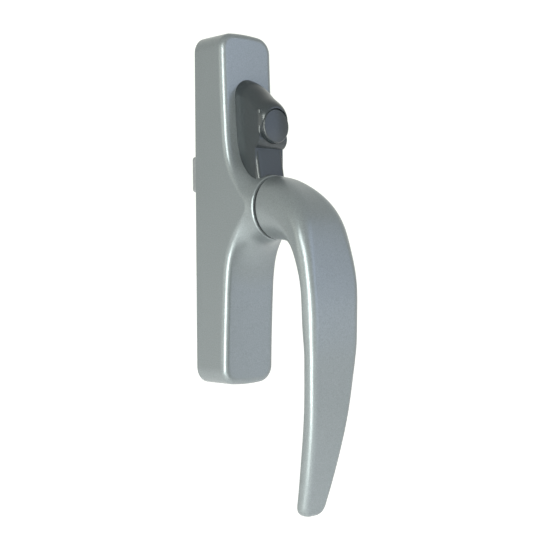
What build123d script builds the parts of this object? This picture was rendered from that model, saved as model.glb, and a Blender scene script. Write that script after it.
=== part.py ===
from build123d import *
import math
import os

# Tilt and turn window handle for surface mounting on a sash.
# Frame: origin where the turning axis meets the mounting plane, +Z up,
# the room side faces -Y, the sash side faces +Y. Depth means distance in
# front of the mounting plane, so depth 20 is y = -20. All sizes in mm.

# ---------------------------------------------------------------- main sizes
BODY_W = 30.0           # body width
BODY_H = 157.6          # body height at the middle of the crowned ends
CROWN = 1.3             # how much the ends fall away at the sides
BODY_CORNER = 7.5       # outline corner radius
BODY_EDGE = 3.0         # rounding of the front edge
WALL = 1.9              # side wall
CAVITY_D = 16.4         # depth of the main hollow
POCKET_D = 17.0         # depth of the hollow around the lock parts
RING_R = 14.3           # neck ring radius
RING_D = 37.1           # depth of the neck ring face
NECK_GAP = 1.95         # gap between neck ring and grip, filled by the bush
NECK_D = RING_D + NECK_GAP
GRIP_DROP = 132.3       # turning axis to grip tip
GRIP_W = 31.3           # widest part of the grip blade
TOP_HALF = BODY_H / 2

# front surface of the body as radius from the turning axis and depth
FRONT = [(RING_R, RING_D), (14.42, 35.9), (14.75, 34.2), (15.6, 31.2), (17.0, 28.6),
         (18.9, 26.5), (21.2, 24.6), (23.9, 23.1), (26.8, 22.1), (29.9, 21.45),
         (33.1, 21.0), (39.6, 20.5), (46.2, 20.1), (56.4, 19.6), (84.0, 18.9)]

# ---------------------------------------------------------------- clearances
RUN = 0.05              # radial clearance of a turning fit
SLIDE = 0.10            # clearance of a sliding fit, each side
SEAT = 0.05             # gap between two pieces that are screwed together
BACKLASH = 0.12         # rack and pinion backlash on the pitch line

# ------------------------------------------------------------ drive (gearing)
MODULE = 1.0
TEETH = 18
PITCH_R = MODULE * TEETH / 2
TURN = math.pi                     # handle travel, closed to tilt
STROKE = PITCH_R * TURN            # travel of the slider
PRESSURE = math.radians(20)
PLATE_T = 1.8           # rear cover thickness
SLIDER_GAP = 0.2        # rear cover to slider plate, and to guide strip
SLIDER_T = 2.6          # slider plate thickness
PINION_GAP = 0.3        # slider plate to pinion
PINION_T = 5.0
DISC_GAP = 0.1          # pinion to index disc
DISC_T = 2.3
WASHER_T = 0.9          # thrust washer between index disc and collar
SLIDER_D0 = PLATE_T + SLIDER_GAP   # rear face of the slider plate
SLIDER_D1 = SLIDER_D0 + SLIDER_T   # front face of the slider plate
PINION_D0 = SLIDER_D1 + PINION_GAP
PINION_D1 = PINION_D0 + PINION_T
DISC_D0 = PINION_D1 + DISC_GAP
DISC_D1 = DISC_D0 + DISC_T
DETENT_D = DISC_D1 - 1.0           # axis of the detent ball and its spring
COLLAR_D = DISC_D1 + WASHER_T + 2 * SEAT   # rear face of the inner collar
SQUARE_D = PINION_D1 - 2.4         # rear end of the spindle's square
DISC_R = 12.8
SQUARE = 8.0            # square drive seat for pinion and index disc

# ----------------------------------------------------------------- drive fork
FORK_W = 14.0
FORK_H = 16.5
FORK_Z = 17.25          # fork centre with the handle down
FORK_OUT = 12.4         # how far the fork stands behind the mounting plane
FORK_GAP = 6.0

# ------------------------------------------------------------ lock and button
BUTTON_Z = 35.8
BUTTON_R = 7.6
BUTTON_FACE = 37.9
BUTTON_DOME = 0.6
BUTTON_TRAVEL = 2.0
BUTTON_EDGE = 0.9
CAP_D = 32.0            # rear face of the button's cap
HEAD_D = 35.6           # depth of the housing's front around the button
LOCK_HALF = 8.3
LOCK_TOP = 58.3
HEAD_EDGE = 1.1         # rounding of the front edges beside the button
BLOCK_EDGE = 2.2        # rounding of the lower block's front edges
SEAT_GAP = 0.06         # gap between the housing and the body's front
HOUSING_SCREWS = [(0, 52.6), (5.4, 20.0), (-5.4, 20.0)]
HOUSING_SCREW_ENDS = (25.2, 28.8, 28.8)
STEM_R = 3.0
PIN_Z = 11.5            # lock pin distance from the turning axis
PIN_R = 1.2

# -------------------------------------------------------------------- fixings
FIX_Z = 60.0            # two M5 fixing holes at plus and minus this height
FIX_R = 2.1
FIX_BOSS_R = 5.0
COVER_SCREW_Z = (46.0, 71.0)
M3_R = 1.25

CAV_W = BODY_W - 2 * WALL
CAV_H = BODY_H - 2 * (WALL + CROWN)
STRIP_T = 1.1           # guide strip thickness
STRIP_X = CAV_W / 2 - SLIDE - STRIP_T / 2
SLIDER_X = STRIP_X - STRIP_T / 2 - SLIDE   # edge of the slider at the strip
CAV_CORNER = 6.0
os.makedirs("parts", exist_ok=True)


def front(depth):
    """Plane parallel to the sash at a depth, looking at it from the room."""
    return Plane.XZ.offset(depth)


# ------------------------------------------------------------- body_casting
# Slab and neck trumpet are one surface of revolution about the turning axis,
# trimmed to the rounded outline of the body.
with BuildPart() as body_casting:
    with BuildSketch(Plane.YZ):
        with BuildLine():
            Spline([(-d, r) for r, d in FRONT])
            Polyline((-FRONT[-1][1], FRONT[-1][0]), (0, FRONT[-1][0]), (0, 0),
                     (-RING_D, 0), (-RING_D, RING_R))
        make_face()
    revolve(axis=Axis.Y)
    with BuildSketch(front(0)) as body_outline:
        with BuildLine():
            side = BODY_W / 2
            shoulder = TOP_HALF - CROWN
            ThreePointArc((-side, shoulder), (0, TOP_HALF), (side, shoulder))
            Line((side, shoulder), (side, -shoulder))
            ThreePointArc((side, -shoulder), (0, -TOP_HALF), (-side, -shoulder))
            Line((-side, -shoulder), (-side, shoulder))
        make_face()
        fillet(body_outline.vertices(), BODY_CORNER)
    extrude(amount=RING_D + 1, mode=Mode.INTERSECT)
    curved = body_casting.edges().filter_by(GeomType.BSPLINE)
    seam = curved.filter_by(lambda e: abs(e.center().X) < 0.01 and abs(e.center().Z) < 77)
    fillet([e for e in curved if e not in seam], BODY_EDGE)
    rim = body_casting.edges().filter_by(GeomType.CIRCLE).sort_by(Axis.Y)[0]
    chamfer(rim, 0.4)
    # main hollow and the deeper pocket for the lock parts
    with BuildSketch(front(0)):
        RectangleRounded(CAV_W, CAV_H, CAV_CORNER)
    extrude(amount=CAVITY_D, mode=Mode.SUBTRACT)
    with BuildSketch(front(CAVITY_D)):
        with Locations((0, 14.0)):
            RectangleRounded(CAV_W, 54.0, 2.0)
    extrude(amount=POCKET_D - CAVITY_D, mode=Mode.SUBTRACT)
    # inner collar that carries the bush, fixing bosses and cover screw bosses
    with BuildSketch(front(COLLAR_D)):
        Circle(10.0)
    extrude(amount=POCKET_D - COLLAR_D + 0.5)
    with BuildSketch(front(0)):
        with Locations((0, FIX_Z), (0, -FIX_Z)):
            Circle(FIX_BOSS_R)
    extrude(amount=CAVITY_D + 0.5)
    with BuildSketch(front(PLATE_T + SEAT)):
        with Locations(*[(0, s * z) for z in COVER_SCREW_Z for s in (1, -1)]):
            Circle(3.4)
    extrude(amount=CAVITY_D - PLATE_T)
    # guide block for the detent ball and its spring
    with BuildSketch(front(DETENT_D - 2.1)):
        with Locations((0, -20.2)):
            Rectangle(7.0, 12.0)
    extrude(amount=POCKET_D - DETENT_D + 2.6)
    # holes
    with BuildSketch(front(0)):
        with Locations((0, FIX_Z), (0, -FIX_Z)):
            Circle(FIX_R)
    extrude(amount=13.0, mode=Mode.SUBTRACT)
    with BuildSketch(front(0)):
        with Locations(*[(0, s * z) for z in COVER_SCREW_Z for s in (1, -1)]):
            Circle(M3_R)
    extrude(amount=10.0, mode=Mode.SUBTRACT)
    with BuildSketch(front(10)):
        Circle(9.0)
    extrude(amount=RING_D, mode=Mode.SUBTRACT)
    with BuildSketch(Plane.XY.offset(-25.0)):
        with Locations((0, -DETENT_D)):
            Circle(2.05)
    extrude(amount=11.5, mode=Mode.SUBTRACT)
    with BuildSketch(front(10)):
        with Locations((0, BUTTON_Z)):
            Circle(STEM_R + 0.3)
    extrude(amount=20, mode=Mode.SUBTRACT)
    with BuildSketch(front(10)):
        with Locations(*HOUSING_SCREWS):
            Circle(1.35)
    extrude(amount=20, mode=Mode.SUBTRACT)
body_casting.part.label = "body_casting"
export_step(body_casting.part, "parts/body_casting.step")

# --------------------------------------------------------------- rear_cover
SLOT_LOW = FORK_Z - FORK_H / 2 - STROKE - 0.4
SLOT_HIGH = FORK_Z + FORK_H / 2 + 0.4
with BuildPart() as rear_cover:
    with BuildSketch(front(0)):
        RectangleRounded(CAV_W - 2 * SLIDE, CAV_H - 2 * SLIDE, CAV_CORNER - SLIDE)
        with Locations((0, (SLOT_LOW + SLOT_HIGH) / 2)):
            RectangleRounded(FORK_W + 0.8, SLOT_HIGH - SLOT_LOW, 1.4, mode=Mode.SUBTRACT)
        with Locations((0, FIX_Z), (0, -FIX_Z)):
            Circle(FIX_BOSS_R + SLIDE, mode=Mode.SUBTRACT)
    extrude(amount=PLATE_T)
    with BuildSketch(front(0)):
        with Locations(*[(0, s * z) for z in COVER_SCREW_Z for s in (1, -1)]):
            Circle(3.0)
    extrude(amount=1.5, taper=45, mode=Mode.SUBTRACT)
    with BuildSketch(front(0)):
        with Locations(*[(0, s * z) for z in COVER_SCREW_Z for s in (1, -1)]):
            Circle(1.6)
    extrude(amount=PLATE_T, mode=Mode.SUBTRACT)
rear_cover.part.label = "rear_cover"
export_step(rear_cover.part, "parts/rear_cover.step")

# ------------------------------------------------------------- cover_screws
with BuildPart() as cover_screws:
    with BuildSketch(front(0.05)):
        with Locations(*[(0, s * z) for z in COVER_SCREW_Z for s in (1, -1)]):
            Circle(2.85)
    extrude(amount=1.45, taper=45)
    with BuildSketch(front(0.05)):
        with Locations(*[(0, s * z) for z in COVER_SCREW_Z for s in (1, -1)]):
            Circle(M3_R - RUN)
    extrude(amount=8.0)
    with BuildSketch(front(0.05)):
        with Locations(*[(0, s * z) for z in COVER_SCREW_Z for s in (1, -1)]):
            RegularPolygon(1.0, 6)
    extrude(amount=1.0, mode=Mode.SUBTRACT)
cover_screws.part.label = "cover_screws"
export_step(cover_screws.part, "parts/cover_screws.step")

# ------------------------------------------------------------- drive_slider
RAIL_OUT = -CAV_W / 2 + 2 * SLIDE
RACK_TIP = -PITCH_R + 0.9 * MODULE
RACK_ROOT = -PITCH_R - 1.25 * MODULE
SLIDER_LOW = -7.0
SLIDER_HIGH = 35.6
half_tooth = math.pi * MODULE / 4 - BACKLASH / 4
tip_half = half_tooth - 0.9 * MODULE * math.tan(PRESSURE)
root_half = half_tooth + 1.25 * MODULE * math.tan(PRESSURE)
with BuildPart() as drive_slider:
    with BuildSketch(front(SLIDER_D0)):
        with Locations(((RAIL_OUT + SLIDER_X) / 2, (SLIDER_LOW + SLIDER_HIGH) / 2)):
            Rectangle(SLIDER_X - RAIL_OUT, SLIDER_HIGH - SLIDER_LOW)
    extrude(amount=SLIDER_D1 - SLIDER_D0)
    with BuildSketch(front(SLIDER_D1)):
        with Locations(((RAIL_OUT + RACK_ROOT) / 2, (SLIDER_LOW + SLIDER_HIGH) / 2)):
            Rectangle(RACK_ROOT - RAIL_OUT, SLIDER_HIGH - SLIDER_LOW)
        for k in range(-2, 11):
            zc = math.pi * MODULE * (k + 0.5)
            with BuildLine():
                Polyline((RACK_ROOT - 0.3, zc - root_half), (RACK_ROOT, zc - root_half),
                         (RACK_TIP, zc - tip_half), (RACK_TIP, zc + tip_half),
                         (RACK_ROOT, zc + root_half), (RACK_ROOT - 0.3, zc + root_half),
                         close=True)
            make_face()
    extrude(amount=PINION_D1 - SLIDER_D1 - PINION_GAP)
    # clearance and countersunk holes for the fork screws
    with BuildSketch(front(SLIDER_D0)):
        with Locations((0, FORK_Z - 4.5), (0, FORK_Z + 4.5)):
            Circle(1.6)
    extrude(amount=SLIDER_D1 - SLIDER_D0, mode=Mode.SUBTRACT)
    with BuildSketch(front(SLIDER_D1)):
        with Locations((0, FORK_Z - 4.5), (0, FORK_Z + 4.5)):
            Circle(3.0)
    extrude(amount=-1.5, taper=45, mode=Mode.SUBTRACT)
drive_slider.part.label = "drive_slider"
export_step(drive_slider.part, "parts/drive_slider.step")

# --------------------------------------------------------------- drive_fork
with BuildPart() as drive_fork:
    with BuildSketch(front(-FORK_OUT)):
        with Locations((0, FORK_Z)):
            RectangleRounded(FORK_W, FORK_H, 1.5)
    extrude(amount=FORK_OUT + SLIDER_D0 - SEAT)
    fillet(drive_fork.faces().sort_by(Axis.Y)[-1].edges(), 0.8)
    with BuildSketch(front(-FORK_OUT)):
        with Locations((0, FORK_Z)):
            Rectangle(FORK_GAP, FORK_H + 2)
    extrude(amount=9.4, mode=Mode.SUBTRACT)
    with BuildSketch(front(SLIDER_D0)):
        with Locations((0, FORK_Z - 4.5), (0, FORK_Z + 4.5)):
            Circle(M3_R)
    extrude(amount=-4.4, mode=Mode.SUBTRACT)
drive_fork.part.label = "drive_fork"
export_step(drive_fork.part, "parts/drive_fork.step")

# -------------------------------------------------------------- fork_screws
with BuildPart() as fork_screws:
    with BuildSketch(front(SLIDER_D1 - 0.05)):
        with Locations((0, FORK_Z - 4.5), (0, FORK_Z + 4.5)):
            Circle(2.85)
    extrude(amount=-1.45, taper=45)
    with BuildSketch(front(SLIDER_D1 - 0.05)):
        with Locations((0, FORK_Z - 4.5), (0, FORK_Z + 4.5)):
            Circle(M3_R - RUN)
    extrude(amount=-6.6)
    with BuildSketch(front(SLIDER_D1 - 0.05)):
        with Locations((0, FORK_Z - 4.5), (0, FORK_Z + 4.5)):
            RegularPolygon(1.0, 6)
    extrude(amount=-1.0, mode=Mode.SUBTRACT)
fork_screws.part.label = "fork_screws"
export_step(fork_screws.part, "parts/fork_screws.step")

# -------------------------------------------------------------- guide_strip
with BuildPart() as guide_strip:
    with BuildSketch(front(PLATE_T + SLIDER_GAP)):
        with Locations((STRIP_X, 0)):
            Rectangle(STRIP_T, 78.0)
    extrude(amount=5.0)
guide_strip.part.label = "guide_strip"
export_step(guide_strip.part, "parts/guide_strip.step")

# ------------------------------------------------------------- drive_pinion
# Involute teeth: the flank angle at a radius follows from the base circle.
BASE_R = PITCH_R * math.cos(PRESSURE)
TIP_R = PITCH_R + 0.95 * MODULE
ROOT_R = PITCH_R - 1.25 * MODULE


def involute(angle):
    return math.tan(angle) - angle


def flank(radius):
    half = (math.pi * MODULE / 2 - BACKLASH / 2) / (2 * PITCH_R)
    turn = half + involute(PRESSURE) - involute(math.acos(min(1.0, BASE_R / radius)))
    return (radius * math.cos(turn), radius * math.sin(turn))


steps = [BASE_R + (TIP_R - BASE_R) * k / 5 for k in range(6)]
up = [flank(r) for r in steps]
foot = (up[0][0] * (ROOT_R - 0.3) / BASE_R, up[0][1] * (ROOT_R - 0.3) / BASE_R)
with BuildPart() as drive_pinion:
    with BuildSketch(front(PINION_D0)):
        Circle(ROOT_R)
        with PolarLocations(0, TEETH):
            with BuildSketch(mode=Mode.PRIVATE) as tooth:
                with BuildLine():
                    Spline(up)
                    Line(up[-1], (up[-1][0], -up[-1][1]))
                    Spline([(x, -y) for x, y in reversed(up)])
                    Line((up[0][0], -up[0][1]), (foot[0], -foot[1]))
                    Line((foot[0], -foot[1]), foot)
                    Line(foot, up[0])
                make_face()
            add(tooth.sketch)
    extrude(amount=PINION_D1 - PINION_D0)
    with BuildSketch(front(SQUARE_D - 0.1)):
        Rectangle(SQUARE + 2 * RUN, SQUARE + 2 * RUN)
    extrude(amount=5, mode=Mode.SUBTRACT)
    with BuildSketch(front(PINION_D0)):
        Circle(2.1)
    extrude(amount=5, mode=Mode.SUBTRACT)
    with BuildSketch(front(PINION_D0)):
        Circle(4.1)
    extrude(amount=2.0, taper=45, mode=Mode.SUBTRACT)
drive_pinion.part.label = "drive_pinion"
export_step(drive_pinion.part, "parts/drive_pinion.step")

# ------------------------------------------------------------- pinion_screw
with BuildPart() as pinion_screw:
    with BuildSketch(front(PINION_D0 + 0.05)):
        Circle(3.95)
    extrude(amount=1.95, taper=45)
    with BuildSketch(front(PINION_D0 + 0.05)):
        Circle(1.95)
    extrude(amount=13.0)
    with BuildSketch(front(PINION_D0 + 0.05)):
        RegularPolygon(1.4, 6)
    extrude(amount=1.5, mode=Mode.SUBTRACT)
pinion_screw.part.label = "pinion_screw"
export_step(pinion_screw.part, "parts/pinion_screw.step")

# --------------------------------------------------------------- index_disc
# Open notches at the closed and tilt positions take the lock pin; the same
# rim carries shallow seats for the detent ball every quarter turn.
with BuildPart() as index_disc:
    with BuildSketch(front(DISC_D0)):
        Circle(DISC_R)
        with PolarLocations(PIN_Z, 2, start_angle=90):
            SlotOverall(2 * PIN_R + 0.4, 2 * PIN_R + 0.3, mode=Mode.SUBTRACT)
        with PolarLocations(DISC_R, 2, start_angle=90):
            Rectangle(2 * (DISC_R - PIN_Z), 2 * PIN_R + 0.3, mode=Mode.SUBTRACT)
        with PolarLocations(DISC_R + 1.2, 2, start_angle=0):
            Circle(1.75, mode=Mode.SUBTRACT)
        Rectangle(SQUARE + 2 * RUN, SQUARE + 2 * RUN, mode=Mode.SUBTRACT)
    extrude(amount=DISC_D1 - DISC_D0)
index_disc.part.label = "index_disc"
export_step(index_disc.part, "parts/index_disc.step")

# ------------------------------------------------------------------ spindle
with BuildPart() as spindle:
    with BuildSketch(front(SQUARE_D)):
        Rectangle(SQUARE, SQUARE)
    extrude(amount=DISC_D1 - SQUARE_D)
    with BuildSketch(front(DISC_D1)):
        Circle(8.0 - RUN)
    extrude(amount=NECK_D - SEAT - DISC_D1)
    with BuildSketch(front(NECK_D - SEAT)):
        Rectangle(10.0, 10.0)
    extrude(amount=12.3)
    chamfer(spindle.faces().sort_by(Axis.Y)[0].edges(), 0.5)
    with BuildSketch(front(SQUARE_D - 0.5)):
        Circle(2.0)
    extrude(amount=13.0, mode=Mode.SUBTRACT)
    with BuildSketch(Plane.XY.offset(-8.0)):
        with Locations((0, -45.0)):
            Circle(2.1)
    extrude(amount=4.2, mode=Mode.SUBTRACT)
spindle.part.label = "spindle"
export_step(spindle.part, "parts/spindle.step")

# ------------------------------------------------------------ thrust_washer
with BuildPart() as thrust_washer:
    with BuildSketch(front(DISC_D1 + SEAT)):
        Circle(9.8)
        Circle(8.0 + RUN, mode=Mode.SUBTRACT)
    extrude(amount=WASHER_T)
thrust_washer.part.label = "thrust_washer"
export_step(thrust_washer.part, "parts/thrust_washer.step")

# ---------------------------------------------------------------- neck_bush
with BuildPart() as neck_bush:
    with BuildSketch(front(COLLAR_D + SEAT)):
        Circle(9.0 - RUN)
        Circle(8.0, mode=Mode.SUBTRACT)
    extrude(amount=RING_D - COLLAR_D)
    with BuildSketch(front(RING_D + SEAT)):
        Circle(13.2)
        Circle(8.0, mode=Mode.SUBTRACT)
    extrude(amount=NECK_GAP - 2 * SEAT)
neck_bush.part.label = "neck_bush"
export_step(neck_bush.part, "parts/neck_bush.step")

# --------------------------------------------------------------------- grip
# Sections of the swan neck and blade: outer point and inner point as depth
# and height, width, corner radius on the outer side and on the inner side.
GRIP = [
    ((NECK_D, 14.0), (NECK_D, -14.0), 28.0, 13.9, 13.9),
    ((43.5, 12.9), (43.0, -14.2), 28.1, 13.3, 13.0),
    ((49.0, 11.0), (48.2, -14.8), 28.4, 12.6, 11.5),
    ((55.5, 7.2), (53.4, -15.6), 28.9, 11.3, 8.5),
    ((61.0, 2.2), (57.6, -17.2), 29.6, 9.6, 6.0),
    ((65.2, -4.0), (60.3, -19.2), 30.3, 8.0, 4.2),
    ((68.2, -11.5), (62.2, -21.5), 30.8, 6.6, 3.0),
    ((70.5, -20.0), (63.9, -24.6), 31.1, 5.3, 2.1),
    ((72.2, -29.0), (65.7, -30.2), GRIP_W, 4.4, 2.0),
    ((73.2, -40.0), (66.8, -40.0), 30.8, 4.3, 1.9),
    ((73.3, -50.0), (66.9, -50.0), 30.1, 4.3, 1.9),
    ((72.9, -62.0), (67.3, -61.5), 28.7, 3.7, 1.7),
    ((71.6, -76.0), (66.1, -75.0), 26.4, 3.7, 1.7),
    ((69.9, -90.5), (64.2, -89.0), 23.6, 3.7, 1.7),
    ((67.0, -105.0), (61.3, -103.0), 20.5, 3.7, 1.7),
    ((63.7, -118.5), (58.2, -116.3), 17.3, 3.7, 1.7),
]
TIP_OUTER = (59.6, -GRIP_DROP)
TIP_INNER = (54.3, -GRIP_DROP + 0.4)
TIP_W = 13.6            # width the blade would have at its end
TIP_CORNER = 4.6        # rounding of the blade's end seen from the front
TIP_EDGE = 2.0          # rounding of the blade's end seen from the side
last = GRIP[-1]
span = math.hypot((last[0][0] + last[1][0] - TIP_OUTER[0] - TIP_INNER[0]) / 2,
                  (last[0][1] + last[1][1] - TIP_OUTER[1] - TIP_INNER[1]) / 2)


def rounded(depth_in, radius):
    """How far a rounding of this radius pulls a side in, this far from the end."""
    if depth_in >= radius:
        return 0.0
    return radius - math.sqrt(radius ** 2 - (radius - depth_in) ** 2)


for away in (6.5, 4.4, 2.8, 1.6, 0.8, 0.3, 0.0):
    part_way = away / span
    ends = [tuple(tip + (end - tip) * part_way for tip, end in zip(tip_pt, end_pt))
            for tip_pt, end_pt in ((TIP_OUTER, last[0]), (TIP_INNER, last[1]))]
    full = math.dist(*ends)
    pull = rounded(away, TIP_EDGE) / full
    outer = tuple(o + (i - o) * pull for o, i in zip(*ends))
    inner = tuple(i + (o - i) * pull for o, i in zip(*ends))
    width = TIP_W + (last[2] - TIP_W) * part_way - 2 * rounded(away, TIP_CORNER)
    thick = full * (1 - 2 * pull)
    GRIP.append((outer, inner, width, min(3.7, 0.62 * thick), min(1.7, 0.3 * thick)))

with BuildPart() as grip:
    for outer, inner, width, outer_r, inner_r in GRIP:
        mid = Vector(0, -(outer[0] + inner[0]) / 2, (outer[1] + inner[1]) / 2)
        across = Vector(0, -(outer[0] - inner[0]), outer[1] - inner[1])
        half_w = width / 2
        half_t = across.length / 2
        normal = Vector(1, 0, 0).cross(across.normalized())
        with BuildSketch(Plane(origin=mid, x_dir=(1, 0, 0), z_dir=normal)):
            with BuildLine():
                for sx, sy, rad in ((1, 1, outer_r), (-1, 1, outer_r),
                                    (-1, -1, inner_r), (1, -1, inner_r)):
                    CenterArc((sx * (half_w - rad), sy * (half_t - rad)), rad,
                              {(1, 1): 0, (-1, 1): 90, (-1, -1): 180, (1, -1): 270}[sx, sy],
                              90)
                Line((half_w - outer_r, half_t), (outer_r - half_w, half_t))
                Line((-half_w, half_t - outer_r), (-half_w, inner_r - half_t))
                Line((inner_r - half_w, -half_t), (half_w - inner_r, -half_t))
                Line((half_w, inner_r - half_t), (half_w, half_t - outer_r))
            make_face()
    loft()
    # square socket for the spindle and the hole of the grub screw
    with BuildSketch(front(NECK_D)):
        Rectangle(10.0 + 2 * RUN, 10.0 + 2 * RUN)
    extrude(amount=13.4, mode=Mode.SUBTRACT)
    with BuildSketch(Plane.XY.offset(-20.0)):
        with Locations((0, -45.0)):
            Circle(2.1)
    extrude(amount=16.0, mode=Mode.SUBTRACT)
grip.part.label = "grip"
export_step(grip.part, "parts/grip.step")

# --------------------------------------------------------------- grip_screw
with BuildPart() as grip_screw:
    with BuildSketch(Plane.XY.offset(-13.4)):
        with Locations((0, -45.0)):
            Circle(2.05)
    extrude(amount=9.0)
    with BuildSketch(Plane.XY.offset(-13.4)):
        with Locations((0, -45.0)):
            RegularPolygon(1.1, 6)
    extrude(amount=2.0, mode=Mode.SUBTRACT)
grip_screw.part.label = "grip_screw"
export_step(grip_screw.part, "parts/grip_screw.step")

# ------------------------------------------------------------- lock_housing
# Moulded cover that climbs the body's rising front up to the neck ring. Its
# seat is the body's front surface moved out by a small gap. The head is a
# stack of slots, each as depth, height of its top end, half width; their
# lower ends run round the button.
HEAD = [(17.0, LOCK_TOP, LOCK_HALF), (21.0, 57.5, LOCK_HALF), (24.8, 55.7, LOCK_HALF),
        (28.7, 52.7, LOCK_HALF), (32.4, 49.5, LOCK_HALF), (35.2, 47.5, 8.2),
        (37.4, 45.6, 7.0), (38.2, 44.2, 5.6)]
HEAD_LOW = BUTTON_Z + 1.5       # centre of the slots' lower ends
with BuildPart() as lock_housing:
    # square-shouldered front beside the button and the lower block
    with BuildSketch(Plane.YZ.offset(-LOCK_HALF)):
        with BuildLine():
            Polyline((-HEAD_D, 31.0), (-HEAD_D, 42.5), (-17.5, 42.5), (-17.5, 8.0),
                     (-35.0, 8.0), (-35.0, 13.3), (-32.8, 26.0), (-32.8, 26.2))
            ThreePointArc((-32.8, 26.2), (-34.9, 28.0), (-HEAD_D, 31.0))
        make_face()
    extrude(amount=2 * LOCK_HALF)
    sloped = lock_housing.faces().filter_by(GeomType.PLANE).filter_by(
        lambda f: f.normal_at().Y < -0.9 and 13.0 < f.center().Z < 26.0)
    fillet(sloped.edges().filter_by(Axis.X, reverse=True), BLOCK_EDGE)
    level = lock_housing.faces().filter_by(GeomType.PLANE).filter_by(
        lambda f: abs(f.center().Y + HEAD_D) < 0.01)
    fillet(level.edges().filter_by(Axis.Z), HEAD_EDGE)
    # hood above the button
    for depth, top, half in HEAD:
        with BuildSketch(front(depth)):
            with Locations((0, (top + HEAD_LOW - half) / 2)):
                SlotOverall(top - HEAD_LOW + half, 2 * half, rotation=90)
    loft()
    # stepped bore for the button cap and the spring
    for depth, radius in ((CAP_D - BUTTON_TRAVEL - 0.1, BUTTON_R + 0.07), (24.0, 5.4)):
        with BuildSketch(front(depth)):
            with Locations((0, BUTTON_Z)):
                Circle(radius)
        extrude(amount=16.0, mode=Mode.SUBTRACT)
    with BuildSketch(front(16.0)):
        with Locations((0, BUTTON_Z)):
            Circle(STEM_R + SLIDE)
    extrude(amount=10.0, mode=Mode.SUBTRACT)
    for screw, end in zip(HOUSING_SCREWS, HOUSING_SCREW_ENDS):
        with BuildSketch(front(16.0)):
            with Locations(screw):
                Circle(1.0)
        extrude(amount=end + 0.6 - 16.0, mode=Mode.SUBTRACT)
    # seat: the body's front surface, moved out by the gap
    with BuildSketch(Plane.YZ):
        with BuildLine():
            Spline([(-d - SEAT_GAP, r + SEAT_GAP) for r, d in FRONT])
            Polyline((-FRONT[-1][1] - SEAT_GAP, FRONT[-1][0] + SEAT_GAP),
                     (0, FRONT[-1][0] + SEAT_GAP), (0, 0), (-RING_D - SEAT_GAP, 0),
                     (-RING_D - SEAT_GAP, RING_R + SEAT_GAP))
        make_face()
    revolve(axis=Axis.Y, mode=Mode.SUBTRACT)
lock_housing.part.label = "lock_housing"
export_step(lock_housing.part, "parts/lock_housing.step")

# ----------------------------------------------------------- housing_screws
with BuildPart() as housing_screws:
    for (sx, sz), head_d, end in zip(HOUSING_SCREWS, (CAVITY_D, POCKET_D, POCKET_D),
                                     HOUSING_SCREW_ENDS):
        with BuildSketch(front(head_d - 1.4)):
            with Locations((sx, sz)):
                Circle(2.1)
                RegularPolygon(0.9, 6, mode=Mode.SUBTRACT)
        extrude(amount=0.7)
        with BuildSketch(front(head_d - 0.7)):
            with Locations((sx, sz)):
                Circle(2.1)
        extrude(amount=0.7 - SEAT)
        with BuildSketch(front(head_d - 0.7)):
            with Locations((sx, sz)):
                Circle(0.95)
        extrude(amount=end - head_d + 0.7)
housing_screws.part.label = "housing_screws"
export_step(housing_screws.part, "parts/housing_screws.step")

# -------------------------------------------------------------- lock_button
def lathe(depth, radius):
    """Point of the button's turned profile from depth and radius."""
    return (-depth, BUTTON_Z + radius)


APEX = BUTTON_FACE + BUTTON_DOME
corner = BUTTON_EDGE * (1 - math.sqrt(0.5))
with BuildPart() as lock_button:
    with BuildSketch(Plane.YZ):
        with BuildLine():
            Polyline(lathe(APEX, 0.5), lathe(APEX, 0), lathe(17.0, 0),
                     lathe(17.0, STEM_R), lathe(CAP_D, STEM_R), lathe(CAP_D, BUTTON_R),
                     lathe(BUTTON_FACE - BUTTON_EDGE, BUTTON_R))
            ThreePointArc(lathe(BUTTON_FACE - BUTTON_EDGE, BUTTON_R),
                          lathe(BUTTON_FACE - corner, BUTTON_R - corner),
                          lathe(BUTTON_FACE, BUTTON_R - BUTTON_EDGE))
            ThreePointArc(lathe(BUTTON_FACE, BUTTON_R - BUTTON_EDGE),
                          lathe(BUTTON_FACE + BUTTON_DOME * 0.75, (BUTTON_R - BUTTON_EDGE) / 2),
                          lathe(APEX, 0.5))
        make_face()
    revolve(axis=Axis((0, 0, BUTTON_Z), (0, 1, 0)))
    with BuildSketch(front(16.0)):
        with Locations((0, BUTTON_Z)):
            Circle(1.05)
    extrude(amount=8.0, mode=Mode.SUBTRACT)
lock_button.part.label = "lock_button"
export_step(lock_button.part, "parts/lock_button.step")

# ---------------------------------------------------------------- lock_bolt
# Arm fixed to the button stem; its pin drops into a notch of the index disc.
with BuildPart() as lock_bolt:
    with BuildSketch(front(14.9)):
        with Locations((0, (10.3 + 38.8) / 2)):
            RectangleRounded(4.4, 38.8 - 10.3, 0.8)
        with Locations((0, BUTTON_Z)):
            Circle(1.3, mode=Mode.SUBTRACT)
    extrude(amount=1.8)
    with BuildSketch(front(DISC_D1 + 0.2)):
        with Locations((0, PIN_Z)):
            Circle(PIN_R)
    extrude(amount=3.0)
lock_bolt.part.label = "lock_bolt"
export_step(lock_bolt.part, "parts/lock_bolt.step")

# --------------------------------------------------------------- bolt_screw
with BuildPart() as bolt_screw:
    with BuildSketch(front(13.5)):
        with Locations((0, BUTTON_Z)):
            Circle(2.1)
            RegularPolygon(0.9, 6, mode=Mode.SUBTRACT)
    extrude(amount=0.7)
    with BuildSketch(front(14.2)):
        with Locations((0, BUTTON_Z)):
            Circle(2.1)
    extrude(amount=0.7 - SEAT)
    with BuildSketch(front(14.2)):
        with Locations((0, BUTTON_Z)):
            Circle(1.0)
    extrude(amount=8.5)
bolt_screw.part.label = "bolt_screw"
export_step(bolt_screw.part, "parts/bolt_screw.step")

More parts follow.
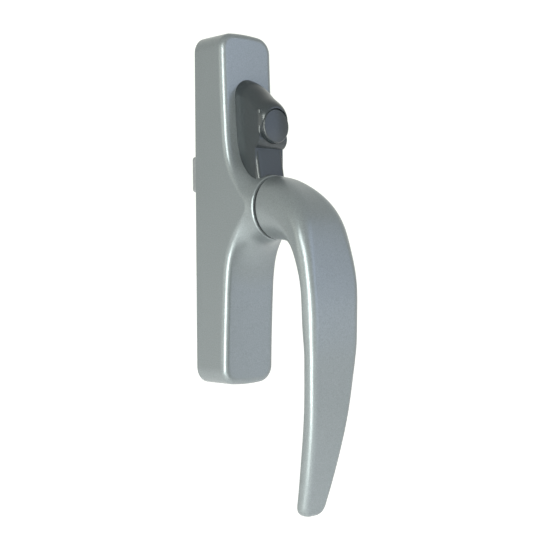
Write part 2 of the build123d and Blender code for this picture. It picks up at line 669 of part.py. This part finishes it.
# ------------------------------------------------------------ button_spring
with BuildPart() as button_spring:
    with BuildLine() as coil:
        Helix(pitch=1.4, height=7.0, radius=4.2, center=(0, -24.47, BUTTON_Z),
              direction=(0, -1, 0))
    with BuildSketch(Plane(origin=coil.line @ 0, z_dir=coil.line % 0)):
        Circle(0.4)
    sweep(path=coil.line)
button_spring.part.label = "button_spring"
export_step(button_spring.part, "parts/button_spring.step")

# -------------------------------------------------------------- detent_ball
with BuildPart() as detent_ball:
    with Locations((0, -DETENT_D, -(DISC_R + 2.0 + SEAT))):
        Sphere(2.0)
detent_ball.part.label = "detent_ball"
export_step(detent_ball.part, "parts/detent_ball.step")

# ------------------------------------------------------------ detent_spring
with BuildPart() as detent_spring:
    with BuildLine() as coil:
        Helix(pitch=1.0, height=7.3, radius=1.5, center=(0, -DETENT_D, -24.6))
    with BuildSketch(Plane(origin=coil.line @ 0, z_dir=coil.line % 0)):
        Circle(0.28)
    sweep(path=coil.line)
detent_spring.part.label = "detent_spring"
export_step(detent_spring.part, "parts/detent_spring.step")
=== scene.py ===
# %% [markdown]
# # A tilt and turn window handle
# This scene dresses a window handle that was designed in CAD: a slab body with
# a trumpet-shaped neck, a swan-neck grip, and a small locking button in a dark
# moulded cover. The CAD parts arrive as finished meshes in their right places.
# What is left to do here is what the eye sees: paint, plastic, plated steel,
# light and a camera.

import math

import bpy
from mathutils import Matrix, Vector


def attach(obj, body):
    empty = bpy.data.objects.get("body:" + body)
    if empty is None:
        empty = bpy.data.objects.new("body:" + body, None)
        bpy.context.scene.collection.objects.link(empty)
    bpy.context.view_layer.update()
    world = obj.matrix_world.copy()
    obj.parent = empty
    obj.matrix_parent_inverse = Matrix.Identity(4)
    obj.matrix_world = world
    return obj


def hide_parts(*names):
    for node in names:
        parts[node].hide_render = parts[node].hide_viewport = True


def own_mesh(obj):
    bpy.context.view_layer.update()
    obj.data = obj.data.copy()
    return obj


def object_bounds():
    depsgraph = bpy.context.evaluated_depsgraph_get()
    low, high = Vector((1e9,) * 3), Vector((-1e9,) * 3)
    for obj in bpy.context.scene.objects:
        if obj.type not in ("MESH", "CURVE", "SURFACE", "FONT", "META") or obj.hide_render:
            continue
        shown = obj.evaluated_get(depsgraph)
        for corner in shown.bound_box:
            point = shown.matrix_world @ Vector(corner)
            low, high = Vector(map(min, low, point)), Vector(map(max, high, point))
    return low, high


# %% [markdown]
# ## Load the handle
# The box around all of them is kept now, because the finished picture must not
# be bigger than the designed object. Everything is deselected, since an
# operator in Blender acts on all that is selected, and the parts come in
# selected.

# %% Load and measure
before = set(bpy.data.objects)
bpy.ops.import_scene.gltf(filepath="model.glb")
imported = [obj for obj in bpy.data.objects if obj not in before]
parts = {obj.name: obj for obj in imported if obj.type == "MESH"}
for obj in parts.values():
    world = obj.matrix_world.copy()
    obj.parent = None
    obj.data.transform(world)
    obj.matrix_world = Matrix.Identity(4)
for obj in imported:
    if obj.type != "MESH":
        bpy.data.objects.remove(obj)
cad_low, cad_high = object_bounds()
bpy.ops.object.select_all(action="DESELECT")
box_mm = [round(1000 * (top - base), 1) for base, top in zip(cad_low, cad_high)]
print(len(parts), "parts, box in mm", box_mm)

# %% [markdown]
# ## Colours
# Colours are written as the hex values of a paint chart. Those are sRGB values,
# bent to suit a screen, while Blender mixes light in straight proportion, so
# each value is straightened out by one function before it is used.


# %% One function for colour
def linear(chart_colour):
    """Scene-linear colour from an sRGB hex value."""
    shares = [int(chart_colour[i:i + 2], 16) / 255 for i in (1, 3, 5)]
    straight = [s / 12.92 if s <= 0.04045 else ((s + 0.055) / 1.055) ** 2.4 for s in shares]
    return (*straight, 1.0)


print("mid grey", [round(c, 3) for c in linear("#808080")])

# %% [markdown]
# ## Building a finish from nodes
# A finish is a small network: a pattern in space, some curves that turn the
# pattern into colour, roughness or relief, and the main shader that takes them
# all. Only one helper is needed, which adds a node with its settings and wires
# it up. Every pattern reads Object coordinates, which are metres on the part,
# so a pattern's scale follows from a real size in millimetres. A noise texture
# has about one grain in each unit of its scale. A wave texture draws its rings
# closer, 20 of them in 2 pi units, so it has a function of its own.


# %% One function for nodes, two for a pattern's scale
def add_node(tree, kind, values=None, links=None, **settings):
    """Add a shader node, set its settings and input values, link its inputs."""
    made = tree.nodes.new(kind)
    for setting, value in settings.items():
        setattr(made, setting, value)
    for socket, value in (values or {}).items():
        made.inputs[socket].default_value = value
    for socket, source in (links or {}).items():
        tree.links.new(source, made.inputs[socket])
    return made


def per_metre(grain_mm):
    """Scale of a noise whose grains are this many millimetres apart."""
    return 1000.0 / grain_mm


def rings_per_metre(spacing_mm):
    """Scale of a wave texture whose rings are this many millimetres apart."""
    return per_metre(spacing_mm) * 2 * math.pi / 20


def start_finish(name, metallic, roughness):
    """New material with its main shader and the coordinates its patterns read."""
    finish = bpy.data.materials.new(name)
    finish.use_nodes = True
    shader = finish.node_tree.nodes["Principled BSDF"]
    shader.inputs["Metallic"].default_value = metallic
    shader.inputs["Roughness"].default_value = roughness
    place = add_node(finish.node_tree, "ShaderNodeTexCoord").outputs["Object"]
    return finish, finish.node_tree, shader, place


print("0.5 mm grain has scale", per_metre(0.5))

# %% [markdown]
# ## Satin powder coat on the die-cast body and grip
# The real surface is die-cast metal sprayed with a silver-grey polyester powder
# that melts to a satin skin. It holds fine aluminium flake, so it is neither
# plain paint nor bare metal: half-metallic, with soft broad highlights. Melted
# powder is never quite flat, and the light breaks into a fine grain. The flake
# is finer than a picture of the whole handle can show, so it is drawn at half
# a millimetre. A slow change in roughness over a few centimetres keeps the long
# blade from looking computed.

# %% Powder coat
coat, tree, shader, place = start_finish("satin_powder_coat", 0.6, 0.36)
flake = add_node(tree, "ShaderNodeTexNoise", {"Scale": per_metre(0.5), "Detail": 2.0},
                 {"Vector": place})
tone = add_node(tree, "ShaderNodeValToRGB", links={"Fac": flake.outputs["Fac"]})
tone.color_ramp.elements[0].position = 0.3
tone.color_ramp.elements[0].color = linear("#73787a")
tone.color_ramp.elements[1].position = 0.7
tone.color_ramp.elements[1].color = linear("#808587")
tree.links.new(tone.outputs["Color"], shader.inputs["Base Color"])
flow = add_node(tree, "ShaderNodeTexNoise", {"Scale": per_metre(30.0), "Detail": 1.0},
                {"Vector": place})
gloss = add_node(tree, "ShaderNodeMapRange", {"To Min": 0.31, "To Max": 0.38},
                 {"Value": flow.outputs["Fac"]})
tree.links.new(gloss.outputs["Result"], shader.inputs["Roughness"])
peel = add_node(tree, "ShaderNodeBump", {"Strength": 0.12, "Distance": 0.00005},
                {"Height": flake.outputs["Fac"]})
tree.links.new(peel.outputs["Normal"], shader.inputs["Normal"])
print(coat.name, "flake scale", flake.inputs["Scale"].default_value)

# %% [markdown]
# ## Anthracite ABS on the lock cover and button
# The cover and button are injection-moulded ABS. The mould was spark-eroded,
# which leaves a fine matt grain of a few tenths of a millimetre, and the plastic
# under it is naturally glossy, so edges still catch small glints. ABS reflects
# with an index of about 1.53.

# %% Moulded plastic
moulded, tree, shader, place = start_finish("spark_grained_abs", 0.0, 0.3)
shader.inputs["IOR"].default_value = 1.53
grain = add_node(tree, "ShaderNodeTexNoise", {"Scale": per_metre(0.45), "Detail": 3.0},
                 {"Vector": place})
shade = add_node(tree, "ShaderNodeValToRGB", links={"Fac": grain.outputs["Fac"]})
shade.color_ramp.elements[0].color = linear("#202426")
shade.color_ramp.elements[1].color = linear("#2a2f32")
tree.links.new(shade.outputs["Color"], shader.inputs["Base Color"])
spark = add_node(tree, "ShaderNodeBump", {"Strength": 0.2, "Distance": 0.00005},
                 {"Height": grain.outputs["Fac"]})
tree.links.new(spark.outputs["Normal"], shader.inputs["Normal"])
print(moulded.name, "index", round(shader.inputs["IOR"].default_value, 2))

# %% [markdown]
# ## Black acetal on the neck bush and guide strip
# Acetal is the slippery plastic of small bearings. It is turned from bar, which
# leaves fine rings, and it looks waxy: nearly black, with a dull sheen. The real
# rings are too fine to show, so they are drawn nearly 4 mm apart. Only a thin
# dark line of it shows between neck and grip.

# %% Bearing plastic
acetal, tree, shader, place = start_finish("turned_black_acetal", 0.0, 0.5)
shader.inputs["IOR"].default_value = 1.48
rings = add_node(tree, "ShaderNodeTexWave", {"Scale": rings_per_metre(3.77), "Distortion": 0.4},
                 {"Vector": place}, wave_type="BANDS", bands_direction="Y")
depth_tone = add_node(tree, "ShaderNodeValToRGB", links={"Fac": rings.outputs["Fac"]})
depth_tone.color_ramp.elements[0].color = linear("#15191b")
depth_tone.color_ramp.elements[1].color = linear("#1e2325")
tree.links.new(depth_tone.outputs["Color"], shader.inputs["Base Color"])
turning = add_node(tree, "ShaderNodeBump", {"Strength": 0.15, "Distance": 0.00004},
                   {"Height": rings.outputs["Fac"]})
tree.links.new(turning.outputs["Normal"], shader.inputs["Normal"])
print(acetal.name, "ready")

# %% [markdown]
# ## Zinc plate on the rear cover and the screws
# Pressed steel sheet and screws are plated with zinc and passivated. The plate
# is bright but cloudy, with patches a few millimetres wide that lean slightly
# to blue or straw, and it is a metal all through, so it keeps the default index.

# %% Zinc plate
zinc, tree, shader, place = start_finish("passivated_zinc_plate", 1.0, 0.36)
cloud = add_node(tree, "ShaderNodeTexNoise", {"Scale": per_metre(6.0), "Detail": 4.0},
                 {"Vector": place})
tint = add_node(tree, "ShaderNodeValToRGB", links={"Fac": cloud.outputs["Fac"]})
tint.color_ramp.elements[0].position = 0.35
tint.color_ramp.elements[0].color = linear("#a9b3ba")
tint.color_ramp.elements[1].position = 0.65
tint.color_ramp.elements[1].color = linear("#c3c2b6")
tree.links.new(tint.outputs["Color"], shader.inputs["Base Color"])
haze = add_node(tree, "ShaderNodeMapRange", {"To Min": 0.28, "To Max": 0.46},
                {"Value": cloud.outputs["Fac"]})
tree.links.new(haze.outputs["Result"], shader.inputs["Roughness"])
print(zinc.name, "patches 6 mm")

# %% [markdown]
# ## Raw zinc casting on the slider and the drive fork
# The moving drive parts are cast in zinc and left as they come from the die:
# grey, dull, with a mottled skin and shallow flow marks a couple of millimetres
# wide. The fork is the one that shows, behind the body.

# %% Raw casting
casting, tree, shader, place = start_finish("raw_zinc_casting", 0.9, 0.5)
mottle = add_node(tree, "ShaderNodeTexNoise", {"Scale": per_metre(2.0), "Detail": 5.0},
                  {"Vector": place})
skin = add_node(tree, "ShaderNodeValToRGB", links={"Fac": mottle.outputs["Fac"]})
skin.color_ramp.elements[0].color = linear("#7d8082")
skin.color_ramp.elements[1].color = linear("#aeb1b3")
tree.links.new(skin.outputs["Color"], shader.inputs["Base Color"])
pores = add_node(tree, "ShaderNodeBump", {"Strength": 0.3, "Distance": 0.00008},
                 {"Height": mottle.outputs["Fac"]})
tree.links.new(pores.outputs["Normal"], shader.inputs["Normal"])
print(casting.name, "ready")

# %% [markdown]
# ## Turned steel on the spindle, gears and lock bolt
# These are cut from free-cutting steel bar and oiled. The cutting tool leaves
# rings across the turning axis, a tenth of a millimetre or so apart on the real
# piece and drawn 2.5 mm apart here, so that they show up close.

# %% Turned steel
turned, tree, shader, place = start_finish("oiled_turned_steel", 1.0, 0.3)
tool = add_node(tree, "ShaderNodeTexWave",
                {"Scale": rings_per_metre(2.513), "Distortion": 0.6, "Detail": 2.0},
                {"Vector": place}, wave_type="BANDS", bands_direction="Y")
bright = add_node(tree, "ShaderNodeValToRGB", links={"Fac": tool.outputs["Fac"]})
bright.color_ramp.elements[0].color = linear("#8b8c8e")
bright.color_ramp.elements[1].color = linear("#abacae")
tree.links.new(bright.outputs["Color"], shader.inputs["Base Color"])
grooves = add_node(tree, "ShaderNodeBump", {"Strength": 0.2, "Distance": 0.00003},
                   {"Height": tool.outputs["Fac"]})
tree.links.new(grooves.outputs["Normal"], shader.inputs["Normal"])
print(turned.name, "rings 2.5 mm")

# %% [markdown]
# ## Drawn wire on the springs
# Spring wire is pulled through a die, which burnishes it bright along its
# length. A faint streaking is all that is left of it.

# %% Spring wire
wire, tree, shader, place = start_finish("drawn_spring_wire", 1.0, 0.24)
streak = add_node(tree, "ShaderNodeTexNoise", {"Scale": per_metre(0.8), "Detail": 2.0},
                  {"Vector": place})
burnish = add_node(tree, "ShaderNodeValToRGB", links={"Fac": streak.outputs["Fac"]})
burnish.color_ramp.elements[0].color = linear("#9c9da0")
burnish.color_ramp.elements[1].color = linear("#bfc0c3")
tree.links.new(burnish.outputs["Color"], shader.inputs["Base Color"])
print(wire.name, "ready")

# %% [markdown]
# ## Give every part its finish
# One table says which part is made of what. A part that the table forgets would
# stop the script with its name, which is better than a grey part in the picture.
# The meshes bring their own shading from CAD, so nothing else is changed.

# %% Dress the parts
finish_of = {
    coat: ("body_casting", "grip"),
    moulded: ("lock_housing", "lock_button"),
    acetal: ("neck_bush", "guide_strip"),
    zinc: ("rear_cover", "cover_screws", "fork_screws", "housing_screws", "bolt_screw",
           "pinion_screw"),
    casting: ("drive_slider", "drive_fork"),
    turned: ("spindle", "drive_pinion", "index_disc", "lock_bolt", "grip_screw", "thrust_washer",
             "detent_ball"),
    wire: ("button_spring", "detent_spring"),
}
dressed = {}
for finish, names in finish_of.items():
    for name in names:
        parts[name].data.materials.clear()
        parts[name].data.materials.append(finish)
        dressed[name] = finish.name
missing = sorted(set(parts) - set(dressed))
if missing:
    raise ValueError(f"parts without a finish: {missing}")
print(len(dressed), "parts dressed")

# %% [markdown]
# ## A copy of the button spring
# The spring under the button is a rigid mesh in the CAD model, but the real one
# shortens by two millimetres when the button is pressed, or the cap would pass
# through it. A CAD part may not change its shape. A copy of it takes its place,
# attached to the housing with a mesh of its own, and the original is hidden. The
# copy's triangles are loose, so they are merged first.

# %% Copy of the button spring
SAME_POINT = 0.000001
bpy.ops.object.select_all(action="DESELECT")
coil = parts["button_spring"].copy()
coil.data = parts["button_spring"].data.copy()
coil.name = "pressed_coil"
coil.parent = None
coil.matrix_world = parts["button_spring"].matrix_world.copy()
bpy.context.scene.collection.objects.link(coil)
bpy.context.view_layer.objects.active = coil
coil.select_set(True)
bpy.ops.object.mode_set(mode="EDIT")
bpy.ops.mesh.select_all(action="SELECT")
bpy.ops.mesh.remove_doubles(threshold=SAME_POINT)
bpy.ops.object.mode_set(mode="OBJECT")
bpy.ops.object.transform_apply(location=True, rotation=True, scale=True)
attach(coil, "housing")
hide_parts("button_spring")
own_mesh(coil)
bpy.ops.object.select_all(action="DESELECT")

# %% [markdown]
# ## Camera
# The handle is seen from the front and left, about 43 degrees round, with the
# camera just over half a metre away and almost level. At that
# distance the near grip looks clearly larger than the far body, so the distance
# matters as much as the angle. A camera looks along its own -Z, so its turn is
# built from three directions: right, up and backwards.

# %% Place the camera
turn, pitch, roll = math.radians(43.3), math.radians(0.59), math.radians(-0.41)
look = Vector((math.sin(turn) * math.cos(pitch), math.cos(turn) * math.cos(pitch),
               -math.sin(pitch)))
level = Vector((math.cos(turn), -math.sin(turn), 0.0))
above = level.cross(look)
right = level * math.cos(roll) + above * math.sin(roll)
up = above * math.cos(roll) - level * math.sin(roll)
target = Vector((0.0151, -0.020, -0.0297))
distance = 0.512
lens = bpy.data.cameras.new("camera")
camera = bpy.data.objects.new("camera", lens)
bpy.context.scene.collection.objects.link(camera)
camera.matrix_world = (Matrix.Translation(target - look * distance)
                       @ Matrix((right, up, -look)).transposed().to_4x4())
lens.sensor_width = 36.0
lens.lens = 73.0
lens.clip_start = 0.01
bpy.context.scene.camera = camera
print("camera at mm", [round(1000 * v) for v in camera.location])

# %% [markdown]
# ## Floor and surroundings
# A product picture wants nothing to look at but the product. The floor is one
# big matt white sheet, far enough below the handle that it throws no shadow on
# it, because this handle is made to hang on a window. It glows a little, which
# keeps it white, and from the front none of its edges show. The world is white
# behind the handle and falls softly to grey in front of it, so a view from
# behind has a grey sky that meets the floor in a line. The grey has its use:
# satin metal shows what stands around it, and a room
# that is white all over would leave nothing for the bright lines to stand out
# from. The colour transform is the plain one, so white comes out as white.

# %% White floor and soft world
FLOOR_DROP = 0.42
FLOOR_SIZE = 80.0
bpy.ops.mesh.primitive_plane_add(size=FLOOR_SIZE, location=(0.0, 0.0, cad_low[2] - FLOOR_DROP))
floor = bpy.context.object
floor.name = "floor"
sheet, _, shader, _ = start_finish("matt_white_sheet", 0.0, 0.9)
shader.inputs["Base Color"].default_value = linear("#ffffff")
shader.inputs["Emission Color"].default_value = linear("#ffffff")
shader.inputs["Emission Strength"].default_value = 0.45
floor.data.materials.append(sheet)
bpy.ops.object.select_all(action="DESELECT")
away = (look - Vector((0.0, 0.0, look.z))).normalized()
surroundings = bpy.data.worlds.new("soft_surroundings")
bpy.context.scene.world = surroundings
surroundings.use_nodes = True
tree = surroundings.node_tree
direction = add_node(tree, "ShaderNodeTexCoord").outputs["Generated"]
behind = add_node(tree, "ShaderNodeVectorMath", {1: away}, {0: direction}, operation="DOT_PRODUCT")
brightness = add_node(tree, "ShaderNodeMapRange",
                      {"From Min": 0.1, "From Max": 0.9, "To Min": 0.57, "To Max": 1.12},
                      {"Value": behind.outputs["Value"]}, interpolation_type="SMOOTHSTEP")
backdrop = tree.nodes["Background"]
backdrop.inputs["Color"].default_value = linear("#fcfff9")
tree.links.new(brightness.outputs["Result"], backdrop.inputs["Strength"])
bpy.context.scene.view_settings.view_transform = "Standard"
print("floor at mm", round(1000 * floor.location.z, 1))

# %% [markdown]
# ## Lights
# A rounded edge shines where it mirrors a light. The long roundings between
# side and front face the camera, so a tall softbox beside the camera puts one
# clean line on each of them, from the top of the body to the tip of the blade.
# A wide cool panel to the right lights the fronts, and a weak warm one further
# to the left lights the sides. Sizes are metres, and each light is turned to
# face the handle.


# %% Softboxes
def softbox(name, angle, height, away_by, size, watts, colour):
    """Rectangular light facing the handle, placed by its angle round from -Y."""
    panel = bpy.data.lights.new(name, "AREA")
    panel.shape = "RECTANGLE"
    panel.size, panel.size_y = size
    panel.energy = watts
    panel.color = linear(colour)[:3]
    lamp = bpy.data.objects.new(name, panel)
    bpy.context.scene.collection.objects.link(lamp)
    lamp.location = target + Vector((-math.sin(math.radians(angle)) * away_by,
                                     -math.cos(math.radians(angle)) * away_by, height))
    lamp.rotation_euler = (target - lamp.location).to_track_quat("-Z", "Y").to_euler()
    print(name, "at mm", [round(1000 * v) for v in lamp.location])


softbox("edge_strip", 52.0, -0.02, 0.9, (0.30, 1.0), 13.5, "#f8fff9")
softbox("front_panel", -28.0, 0.25, 1.1, (0.7, 0.9), 2.9, "#bccdf6")
softbox("side_panel", 100.0, 0.20, 1.2, (0.6, 0.8), 2.2, "#f6f4e6")
